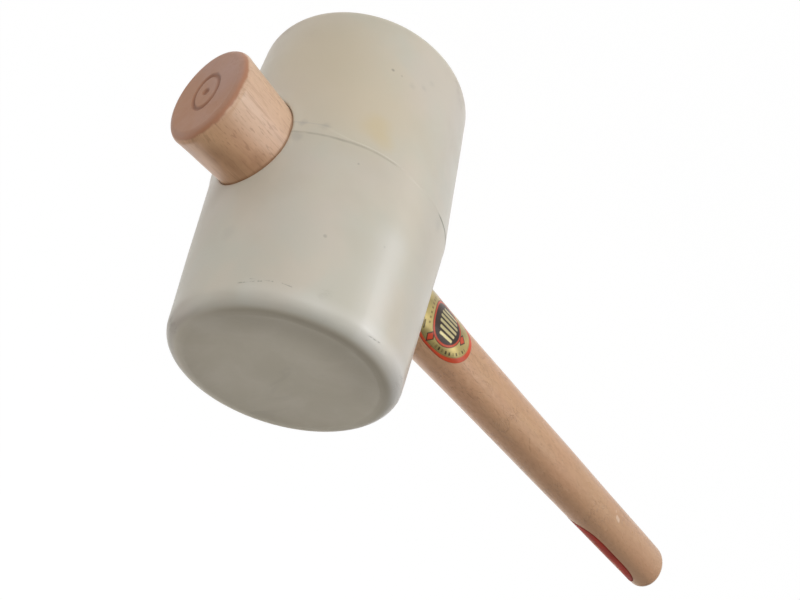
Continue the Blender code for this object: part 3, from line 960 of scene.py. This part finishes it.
def beech_material():
    t = Tree("lacquered_beech")
    base = t.node("ShaderNodeTexCoord", out=3)
    xyz = t.tree.nodes.new("ShaderNodeSeparateXYZ")
    t.put(xyz.inputs[0], base)
    x, y, z = xyz.outputs
    # growth rings about a pith that lies outside the handle
    py = t.math("SUBTRACT", y, -0.034)
    pz = t.math("SUBTRACT", z, (ZC + 46) * MM)
    dist = t.math("SQRT", t.math("ADD", t.math("MULTIPLY", py, py), t.math("MULTIPLY", pz, pz)))
    bend = t.noise(t.coords(scale=(0.12, 1, 1)), 70.0, 2.0)
    dist = t.math("ADD", dist, t.math("MULTIPLY", bend, 0.0065))
    dist = t.math("ADD", dist, t.math("MULTIPLY", x, 0.006))
    ring = t.math("FRACT", t.math("MULTIPLY", dist, 1 / 0.0036))
    late = t.ramp(ring, 0.40, 0.98)
    late = t.math("MULTIPLY", late, t.ramp(ring, 0.97, 1.0, 1.0, 0.0))
    on_grip = t.ramp(x, 0.045, 0.090)
    in_eye = t.math("SUBTRACT", 1.0, on_grip)
    # colour: pinkish tan, paler and yellower in places
    slow = t.ramp(t.noise(t.coords(scale=(0.22, 1, 1), offset=(0, 0.3, 0)), 45.0, 3.0), 0.35, 0.65)
    colour = t.mix(slow, tuple(srgb(206, 164, 126)), tuple(srgb(198, 153, 117)))
    warm = t.ramp(t.noise(t.coords(scale=(0.35, 1, 1), offset=(0.6, 0.1, 0)), 80.0, 2.0), 0.42, 0.66)
    colour = t.mix(t.math("MULTIPLY", warm, 0.45), colour, tuple(srgb(206, 157, 122)))
    streak = t.ramp(t.noise(t.coords(scale=(0.035, 1, 1)), 520.0, 4.0, 0.6), 0.38, 0.70)
    streak = t.math("MULTIPLY", streak, t.math("ADD", 0.20, t.math("MULTIPLY", in_eye, 0.12)))
    colour = t.mix(streak, colour, tuple(srgb(186, 142, 108)))
    late = t.math("MULTIPLY", late, t.math("ADD", 0.11, t.math("MULTIPLY", in_eye, 0.05)))
    colour = t.mix(late, colour, tuple(srgb(180, 132, 98)))
    # a few broader dark streaks in the flared end, where the grain was cut across
    broad = t.ramp(t.noise(t.coords(scale=(0.16, 1, 1), offset=(0.1, 0.3, 0.9)), 210.0, 4.0, 0.6), 0.50, 0.74)
    colour = t.mix(t.math("MULTIPLY", broad, t.math("MULTIPLY", in_eye, 0.42)), colour, tuple(srgb(170, 124, 90)))
    # painted highlight: paler on the label side of the flared end
    lean = t.math("SUBTRACT", t.math("MULTIPLY", y, 0.99), t.math("MULTIPLY", t.math("SUBTRACT", z, ZC * MM), 0.12))
    painted_plug_highlight = t.math("MULTIPLY", t.ramp(lean, 0.004, 0.017), in_eye)
    colour = t.mix(t.math("MULTIPLY", painted_plug_highlight, 0.42), colour, tuple(srgb(231, 206, 182)))
    # rays: short dark dashes along the grain, pores as finer ones
    rays = t.noise(t.coords(scale=(0.22, 1, 1), offset=(0, 0, 0.4)), 1500.0, 1.5, 0.4)
    rays = t.ramp(rays, 0.585, 0.68)
    pores = t.ramp(t.noise(t.coords(scale=(0.08, 1, 1), offset=(0.5, 0, 0)), 2600.0, 1.0, 0.4), 0.60, 0.74)
    some = t.ramp(t.noise(t.coords(scale=(0.5, 1, 1), offset=(0.2, 0.2, 0)), 120.0, 2.0), 0.42, 0.62)
    rays = t.math("MULTIPLY", rays, t.math("ADD", 0.25, t.math("MULTIPLY", some, 0.75)))
    colour = t.mix(t.math("MULTIPLY", rays, t.math("ADD", 0.34, t.math("MULTIPLY", in_eye, 0.02))), colour, tuple(srgb(138, 94, 66)))
    colour = t.mix(t.math("MULTIPLY", pores, 0.22), colour, tuple(srgb(160, 112, 82)))
    # in the flared end the cut grain shows as long dark lines
    lines = t.ramp(t.noise(t.coords(scale=(0.045, 1, 1), offset=(0.3, 0.6, 0.7)), 950.0, 2.5, 0.5), 0.54, 0.72)
    colour = t.mix(t.math("MULTIPLY", lines, t.math("MULTIPLY", in_eye, 0.33)), colour, tuple(srgb(150, 104, 72)))
    # nicks filled with dirt: a sprinkle, and the ones that can be seen one by one
    nick_cells = t.node(
        "ShaderNodeTexVoronoi",
        {"feature": "F1"},
        {"Vector": t.coords(scale=(0.6, 1, 1), offset=(0.2, 0.7, 0.1)), "Scale": 140.0},
    )
    nick_colour = t.tree.nodes[-1].outputs["Color"]
    nicks = t.math(
        "MULTIPLY", t.ramp(nick_cells, 0.04, 0.13, 1.0, 0.0), t.math("GREATER_THAN", nick_colour, 0.80)
    )
    nicks = t.math("MULTIPLY", nicks, t.math("ADD", 0.25, t.math("MULTIPLY", on_grip, 0.35)))
    for a, b, w in (
        ((120.2, 8.2, ZC + 8.6), (122.8, 9.6, ZC + 7.2), 0.42),
        ((122.8, 9.6, ZC + 7.2), (125.6, 8.4, ZC + 9.2), 0.34),
        ((121.4, 7.4, ZC + 10.4), (124.8, 7.0, ZC + 11.0), 0.40),
        ((154.2, 7.2, ZC + 10.6), (157.6, 6.4, ZC + 11.6), 0.42),
        ((150.2, 8.8, ZC + 8.4), (153.0, 8.0, ZC + 10.0), 0.30),
        ((98.2, 11.4, ZC + 1.6), (101.6, 11.4, ZC + 2.2), 0.34),
        ((140.4, 8.2, ZC + 9.4), (143.6, 8.6, ZC + 9.0), 0.32),
        ((95.0, 9.7, ZC + 7.2), (96.6, 9.7, ZC + 7.8), 0.34),
        ((103.0, 11.4, ZC + 1.4), (105.2, 11.3, ZC + 2.2), 0.28),
        ((129.4, 10.6, ZC + 5.0), (131.4, 10.5, ZC + 5.6), 0.30),
        ((160.0, 10.9, ZC + 4.0), (162.4, 10.8, ZC + 4.6), 0.34),
        ((199.4, 10.2, ZC + 5.6), (202.0, 10.1, ZC + 6.4), 0.40),
        ((180.4, 11.0, ZC + 3.4), (183.0, 10.9, ZC + 4.2), 0.34),
        ((220.6, 10.3, ZC + 5.6), (224.0, 10.2, ZC + 6.2), 0.36),
        ((258.6, 9.1, ZC + 7.8), (260.6, 9.1, ZC + 8.2), 0.28),
        ((292.6, 8.7, ZC + 8.4), (294.4, 8.6, ZC + 8.8), 0.26),
    ):
        nicks = t.math("MAXIMUM", nicks, t.math("MULTIPLY", t.stroke(a, b, w * 1.8, 0.9), 0.50))
    # lacquer that has wrinkled and been marked by hand: short curls and a fine mottle on the grip
    mottle = t.noise(t.coords(scale=(0.45, 1, 1), offset=(0.3, 0.9, 0.2)), 520.0, 4.0, 0.62, 0.6)
    colour = t.mix(
        t.math("MULTIPLY", t.ramp(mottle, 0.48, 0.72), t.math("ADD", 0.10, t.math("MULTIPLY", on_grip, 0.20))),
        colour, tuple(srgb(166, 120, 88)),
    )
    colour = t.mix(
        t.math("MULTIPLY", t.ramp(mottle, 0.46, 0.26), t.math("MULTIPLY", on_grip, 0.20)),
        colour, tuple(srgb(226, 192, 160)),
    )
    curl = t.noise(t.coords(scale=(0.6, 1, 1), offset=(0.8, 0.1, 0.5)), 210.0, 2.0, 0.5, 1.4)
    curl = t.ramp(t.math("ABSOLUTE", t.math("SUBTRACT", curl, 0.5)), 0.006, 0.022, 1.0, 0.0)
    where = t.ramp(t.noise(t.coords(scale=(0.7, 1, 1), offset=(0.1, 0.5, 0.5)), 75.0, 2.0, 0.5), 0.50, 0.62)
    curl = t.math("MULTIPLY", t.math("MULTIPLY", curl, where), on_grip)
    colour = t.mix(t.math("MULTIPLY", curl, 0.22), colour, tuple(srgb(142, 98, 70)))
    colour = t.mix(t.math("MULTIPLY", nicks, 0.30), colour, tuple(srgb(138, 96, 68)))
    # painted glint: one pale mark on the lacquer
    painted_glint = t.stroke((246.6, 11.0, ZC + 2.0), (249.2, 10.9, ZC + 2.6), 1.7, 0.7)
    painted_glint = t.math("MAXIMUM", painted_glint, t.math("MULTIPLY", t.spot((244.6, 11.2, ZC - 0.6), 1.1), 0.6))
    painted_glint = t.math("MULTIPLY", painted_glint, t.ramp(t.noise(t.coords(), 900.0, 3.0), 0.40, 0.55, 0.65, 1.0))
    colour = t.mix(t.math("MULTIPLY", painted_glint, 0.90), colour, tuple(srgb(240, 214, 194)))
    # darker patches low on the flared end
    for centre, size, amount in (
        ((-57.0, 3.0, ZC + 19.6), 7.0, 0.42),
        ((-50.0, 6.5, ZC + 18.4), 6.0, 0.40),
        ((-61.0, -7.0, ZC + 17.6), 7.0, 0.38),
        ((-46.5, 10.0, ZC + 15.0), 5.0, 0.30),
    ):
        colour = t.mix(t.math("MULTIPLY", t.spot(centre, size, size * 0.8, 0.95), amount), colour, tuple(srgb(150, 108, 76)))
    # handling has greyed the grip a little
    grip = t.ramp(x, 0.09, 0.24)
    colour = t.mix(t.math("MULTIPLY", grip, 0.26), colour, tuple(srgb(178, 134, 92)))
    # painted light along the handle's lower edge, and painted shade, a little darker and yellower, along the upper one
    across = t.math("SUBTRACT", t.math("MULTIPLY", t.math("SUBTRACT", z, ZC * MM), 0.72), t.math("MULTIPLY", y, 0.69))
    painted_lower_edge_light = t.math("MULTIPLY", t.ramp(across, 0.0050, 0.0098), t.math("SUBTRACT", 1.0, t.math("MULTIPLY", in_eye, 0.5)))
    colour = t.mix(painted_lower_edge_light, colour, (1.20, 1.20, 1.20), "MULTIPLY")
    painted_upper_edge_shade = t.math("MULTIPLY", t.ramp(across, -0.0005, -0.0060), on_grip)
    colour = t.mix(painted_upper_edge_shade, colour, (0.965, 0.955, 0.915), "MULTIPLY")
    # brown sealing wax over the eye end and its chamfer
    ragged = t.noise(t.coords(scale=(0.3, 1, 1)), 150.0, 4.0, 0.6)
    limit = t.math("ADD", (EYE_X + 0.70) * MM, t.math("MULTIPLY", ragged, 0.0020))
    wax = t.ramp(t.math("SUBTRACT", x, limit), -0.00035, 0.00035, 1.0, 0.0)
    on_edge = t.ramp(x, (EYE_X + 0.25) * MM, (EYE_X + 1.2) * MM)
    tone = t.ramp(t.noise(t.coords(), 60.0, 3.0), 0.35, 0.65)
    lift = t.math("SUBTRACT", y, t.math("SUBTRACT", z, ZC * MM))
    tone = t.math("ADD", t.math("MULTIPLY", tone, 0.5), t.ramp(lift, -0.020, 0.022, 0.5, 0.0))
    wax_colour = t.mix(tone, tuple(srgb(172, 133, 117)), tuple(srgb(173, 124, 93)))
    wax_colour = t.mix(t.math("MULTIPLY", on_edge, 0.9), wax_colour, tuple(srgb(176, 120, 88)))
    groove = t.value("groove")
    wax_colour = t.mix(t.math("MULTIPLY", groove, 0.62), wax_colour, tuple(srgb(128, 80, 56)))
    flecks = t.ramp(t.noise(t.coords(offset=(0.4, 0.4, 0)), 420.0, 3.0, 0.6), 0.60, 0.72)
    wax_colour = t.mix(t.math("MULTIPLY", flecks, 0.16), wax_colour, tuple(srgb(140, 96, 74)))
    colour = t.mix(t.math("MULTIPLY", wax, 0.94), colour, wax_colour)
    # the brown line where the wood enters the rubber
    yy, zz = t.math("MULTIPLY", y, y), t.math("SUBTRACT", z, ZC * MM)
    zz = t.math("MULTIPLY", zz, zz)
    taper = (MID_R - END_R) / HALF
    side = t.math("SUBTRACT", MID_R * MM, t.math("MULTIPLY", t.math("ABSOLUTE", t.math("SUBTRACT", z, ZC * MM)), taper))
    away = t.math("SUBTRACT", t.math("SQRT", t.math("ADD", yy, t.math("MULTIPLY", x, x))), side)
    joint = t.math("MULTIPLY", t.ramp(away, 0.00045, 0.00090, 1.0, 0.0), t.ramp(away, -0.0030, -0.0008, 0.12, 1.0))
    colour = t.mix(t.math("MULTIPLY", joint, 0.24), colour, tuple(srgb(134, 88, 56)))
    # bump
    grain = t.noise(t.coords(scale=(0.05, 1, 1)), 1500.0, 3.0, 0.55)
    n1 = t.bump(grain, 0.00006, 0.4)
    marks = t.math("MAXIMUM", t.math("MULTIPLY", nicks, 0.5), t.math("MULTIPLY", curl, 0.5))
    n2 = t.bump(t.math("SUBTRACT", 1.0, marks), 0.00025, 0.9, n1)
    n2 = t.bump(t.math("MULTIPLY", mottle, on_grip), 0.00030, 0.38, n2)
    ripple = t.noise(t.coords(scale=(0.35, 1, 1)), 130.0, 3.0)
    n3 = t.bump(ripple, 0.00035, 0.35, n2)
    wax_skin = t.math("MULTIPLY", t.noise(t.coords(), 320.0, 3.0), wax)
    n4 = t.bump(wax_skin, 0.00018, 0.5, n3)
    rough = t.ramp(t.noise(t.coords(scale=(0.3, 1, 1)), 90.0, 3.0), 0.3, 0.7, 0.36, 0.50)
    coat_rough = t.ramp(t.noise(t.coords(scale=(0.4, 1, 1), offset=(0.3, 0, 0)), 60.0, 4.0), 0.3, 0.7, 0.24, 0.36)
    coat = t.math("SUBTRACT", 0.5, t.math("MULTIPLY", wax, 0.35))
    shader = t.node(
        "ShaderNodeBsdfPrincipled",
        inputs={
            "Base Color": colour,
            "Roughness": rough,
            "Coat Weight": coat,
            "Coat Roughness": coat_rough,
            "Coat IOR": 1.45,
            "Specular IOR Level": 0.4,
            "Normal": n4,
            "Coat Normal": n3,
        },
    )
    return t.finish(shader)


def print_material(name, gloss, coat=0.2, specular=0.35):
    """Printed film: the ink's colour is on the mesh's points, the foil below it is metal."""
    t = Tree(name)
    ink = t.node("ShaderNodeAttribute", {"attribute_name": "ink"}, out=0)
    foil = t.node("ShaderNodeAttribute", {"attribute_name": "foil"}, out=2)
    tone = t.ramp(t.noise(t.coords(scale=(0.4, 1, 1)), 130.0, 4.0, 0.6), 0.3, 0.7, 0.80, 1.10)
    colour = t.mix(1.0, ink, t.node("ShaderNodeCombineColor", inputs={0: tone, 1: tone, 2: tone}), "MULTIPLY")
    dirt = t.ramp(t.noise(t.coords(offset=(0.1, 0, 0)), 420.0, 5.0, 0.7), 0.60, 0.78)
    colour = t.mix(t.math("MULTIPLY", dirt, 0.25), colour, tuple(srgb(96, 76, 52)))
    crease = t.noise(t.coords(scale=(0.6, 1, 1)), 300.0, 4.0, 0.6, 0.5)
    n1 = t.bump(crease, 0.00008, 0.7)
    rough = t.ramp(t.noise(t.coords(offset=(0.4, 0, 0)), 200.0, 3.0), 0.3, 0.7, gloss - 0.05, gloss + 0.09)
    shader = t.node(
        "ShaderNodeBsdfPrincipled",
        inputs={
            "Base Color": colour,
            "Metallic": t.math("MULTIPLY", foil, 0.55),
            "Roughness": rough,
            "Coat Weight": coat,
            "Coat Roughness": 0.2,
            "Specular IOR Level": specular,
            "Normal": n1,
        },
    )
    return t.finish(shader)


# ------------------------------------------------------------------ build
head = build_head()
head.data.materials.append(rubber_material())
handle = build_handle()
handle.data.materials.append(beech_material())

label = build_sheet(
    "foil_label_print", "foil_label", 1, label_lo, label_hi, LABEL_B,
    superellipse(2.5), paint_label, 190, 140,
)
label.data.materials.append(print_material("gold_foil_print", 0.32))
decal = build_sheet(
    "grip_decal_print", "grip_decal", -1, decal_lo, decal_hi, DECAL_B,
    superellipse(4.0), paint_decal, 200, 100,
)
decal.data.materials.append(print_material("red_print", 0.46, 0.0, 0.25))


# ------------------------------------------------------------------ stage, light, camera
FLOOR_LIFT = 0.22  # the white sweep, as the object sees it
GLOSS_LIFT = 0.32  # and as it shows in grazing reflections
TO_LENS = (-0.7044, 0.536, 0.4653)


def floor_material():
    t = Tree("studio_floor")
    path = t.tree.nodes.new("ShaderNodeLightPath")
    diffuse = t.node("ShaderNodeBsdfDiffuse", inputs={"Color": (0.86, 0.86, 0.86, 1)})
    glow = t.node("ShaderNodeEmission", inputs={"Color": (1, 1, 1, 1), "Strength": 1.03})
    seen = t.node("ShaderNodeMixShader", inputs={0: 0.95, 1: diffuse, 2: glow})
    white = t.node("ShaderNodeEmission", inputs={"Color": (1, 1, 1, 1), "Strength": FLOOR_LIFT})
    around = t.node("ShaderNodeAddShader", inputs={0: diffuse, 1: white})
    # only away from the lens: the room on the lens's side is darker than the sweep behind the object
    incoming = t.node("ShaderNodeNewGeometry", out="Incoming")
    behind = t.node("ShaderNodeVectorMath", {"operation": "DOT_PRODUCT"}, {0: incoming, 1: TO_LENS}, out="Value")
    shine = t.node(
        "ShaderNodeEmission",
        inputs={"Color": (1, 1, 1, 1), "Strength": t.math("MULTIPLY", t.ramp(behind, 0.55, 0.98), GLOSS_LIFT)},
    )
    mirrored = t.node("ShaderNodeAddShader", inputs={0: around, 1: shine})
    around = t.node("ShaderNodeMixShader", inputs={0: path.outputs["Is Glossy Ray"], 1: around, 2: mirrored})
    lit = t.node("ShaderNodeMixShader", inputs={0: path.outputs["Is Camera Ray"], 1: around, 2: seen})
    # seen from underneath the floor is clear, so the lower striking face can be looked at
    under = t.math(
        "MULTIPLY", t.node("ShaderNodeNewGeometry", out="Backfacing"), path.outputs["Is Camera Ray"]
    )
    clear = t.node("ShaderNodeBsdfTransparent")
    return t.finish(t.node("ShaderNodeMixShader", inputs={0: under, 1: lit, 2: clear}))


bpy.ops.mesh.primitive_circle_add(vertices=96, radius=6.0, fill_type="NGON", location=(0, 0, 0))
floor = bpy.context.active_object
floor.name = "studio_floor"
floor.location.z = head_lo[2] * MM - 0.00005
floor.data.materials.append(floor_material())
floor.visible_shadow = False

world = bpy.data.worlds.new("studio")
bpy.context.scene.world = world
world.use_nodes = True
wt = world.node_tree
wt.nodes.clear()
w_out = wt.nodes.new("ShaderNodeOutputWorld")
w_mix = wt.nodes.new("ShaderNodeMixShader")
w_path = wt.nodes.new("ShaderNodeLightPath")
w_air = wt.nodes.new("ShaderNodeBackground")
w_air.inputs[0].default_value = (1.0, 1.0, 1.0, 1)
w_air.inputs[1].default_value = 0.285
w_seen = wt.nodes.new("ShaderNodeBackground")
w_seen.inputs[0].default_value = (1, 1, 1, 1)
w_seen.inputs[1].default_value = 1.0
w_shine = wt.nodes.new("ShaderNodeBackground")
w_shine.inputs[0].default_value = (1.0, 1.0, 1.0, 1)
w_shine.inputs[1].default_value = 0.285 + GLOSS_LIFT
w_around = wt.nodes.new("ShaderNodeMixShader")
w_where = wt.nodes.new("ShaderNodeTexCoord")
w_dot = wt.nodes.new("ShaderNodeVectorMath")
w_dot.operation = "DOT_PRODUCT"
w_dot.inputs[1].default_value = tuple(-v for v in TO_LENS)
w_ramp = wt.nodes.new("ShaderNodeMapRange")
w_ramp.inputs["From Min"].default_value = 0.55
w_ramp.inputs["From Max"].default_value = 0.98
w_both = wt.nodes.new("ShaderNodeMath")
w_both.operation = "MULTIPLY"
wt.links.new(w_where.outputs["Generated"], w_dot.inputs[0])
wt.links.new(w_dot.outputs["Value"], w_ramp.inputs["Value"])
wt.links.new(w_ramp.outputs["Result"], w_both.inputs[0])
wt.links.new(w_path.outputs["Is Glossy Ray"], w_both.inputs[1])
wt.links.new(w_both.outputs[0], w_around.inputs[0])
wt.links.new(w_air.outputs[0], w_around.inputs[1])
wt.links.new(w_shine.outputs[0], w_around.inputs[2])
wt.links.new(w_path.outputs["Is Camera Ray"], w_mix.inputs[0])
wt.links.new(w_around.outputs[0], w_mix.inputs[1])
wt.links.new(w_seen.outputs[0], w_mix.inputs[2])
wt.links.new(w_mix.outputs[0], w_out.inputs[0])


def area_light(name, toward, distance, size, power, colour=(1, 1, 1), size_y=None):
    """A soft box in the direction toward, as seen from the middle of the head."""
    data = bpy.data.lights.new(name, "AREA")
    data.shape = "RECTANGLE"
    data.size, data.size_y = size, size_y or size
    data.energy = power
    data.color = colour
    obj = bpy.data.objects.new(name, data)
    d = Vector(toward).normalized()
    aim = Vector((0.03, 0.0, ZC * MM))
    obj.location = aim + d * distance
    obj.rotation_euler = (-d).to_track_quat("-Z", "Y").to_euler()
    obj.visible_camera = False
    bpy.context.scene.collection.objects.link(obj)
    return obj


area_light("key_front", (-0.581, 0.806, -0.114), 1.3, 0.6, 4.2, (1, 0.995, 0.985))
area_light("key_wide", (-0.694, 0.625, 0.357), 1.3, 1.0, 1.9, (1, 0.998, 0.985))
area_light("key_upper", (-0.244, 0.881, -0.405), 1.3, 0.9, 0.85, (1, 1, 1))
area_light("key_side", (0.549, 0.831, 0.088), 1.3, 0.6, 2.9, (1, 1, 1))
area_light("band", (0.316, 0.895, -0.315), 1.3, 0.3, 3.6, (1, 1, 1))
area_light("fill_left", (-0.554, -0.807, 0.204), 1.3, 1.0, 3.2, (1, 0.985, 0.96))
area_light("fill_back", (0.411, -0.821, 0.396), 1.3, 0.7, 2.2, (1, 0.985, 0.96))
back_low = area_light("back_low", (0.4, -0.9, 0.1), 1.3, 0.7, 3.8, (1, 0.985, 0.96))
back_low.visible_glossy = False  # seen against this light, lacquer would flare along its outline

# camera: at the viewing angle, with the off-centre crop as a lens shift
FOCAL_PX, CX, CY = 1048.87, 441.68, 456.19
cam_data = bpy.data.cameras.new("camera")
cam = bpy.data.objects.new("camera", cam_data)
bpy.context.scene.collection.objects.link(cam)
bpy.context.scene.camera = cam
cam_data.sensor_width = 36.0
cam_data.lens = FOCAL_PX * 36.0 / 800.0
cam_data.clip_start, cam_data.clip_end = 0.01, 50.0
place = Vector((-212.8, 237.0, 251.5 + ZC)) * MM
forward = Vector((0.7044, -0.5360, -0.4653)).normalized()
up = Vector((-0.4855, 0.1143, -0.8667))
right = forward.cross(up).normalized()
up = right.cross(forward).normalized()
cam.matrix_world = Matrix(
    (
        (right.x, up.x, -forward.x, place.x),
        (right.y, up.y, -forward.y, place.y),
        (right.z, up.z, -forward.z, place.z),
        (0, 0, 0, 1),
    )
)
# the shift belongs to this one place: from anywhere else the lens looks straight ahead
for channel, amount in (("shift_x", (400 - CX) / 800.0), ("shift_y", (CY - 300) / 800.0)):
    driver = cam_data.driver_add(channel).driver
    driver.type = "SCRIPTED"
    for axis in "XYZ":
        var = driver.variables.new()
        var.name = "p" + axis.lower()
        var.type = "TRANSFORMS"
        var.targets[0].id = cam
        var.targets[0].transform_type = "LOC_" + axis
        var.targets[0].transform_space = "WORLD_SPACE"
    driver.expression = (
        f"{amount:.6f} if abs(px - {place.x:.6f}) + abs(py - {place.y:.6f}) + abs(pz - {place.z:.6f}) < 0.0005 else 0.0"
    )

scene = bpy.context.scene
scene.view_settings.view_transform = "Standard"
scene.view_settings.look = "None"
scene.view_settings.exposure = 0.0
scene.view_settings.gamma = 1.0
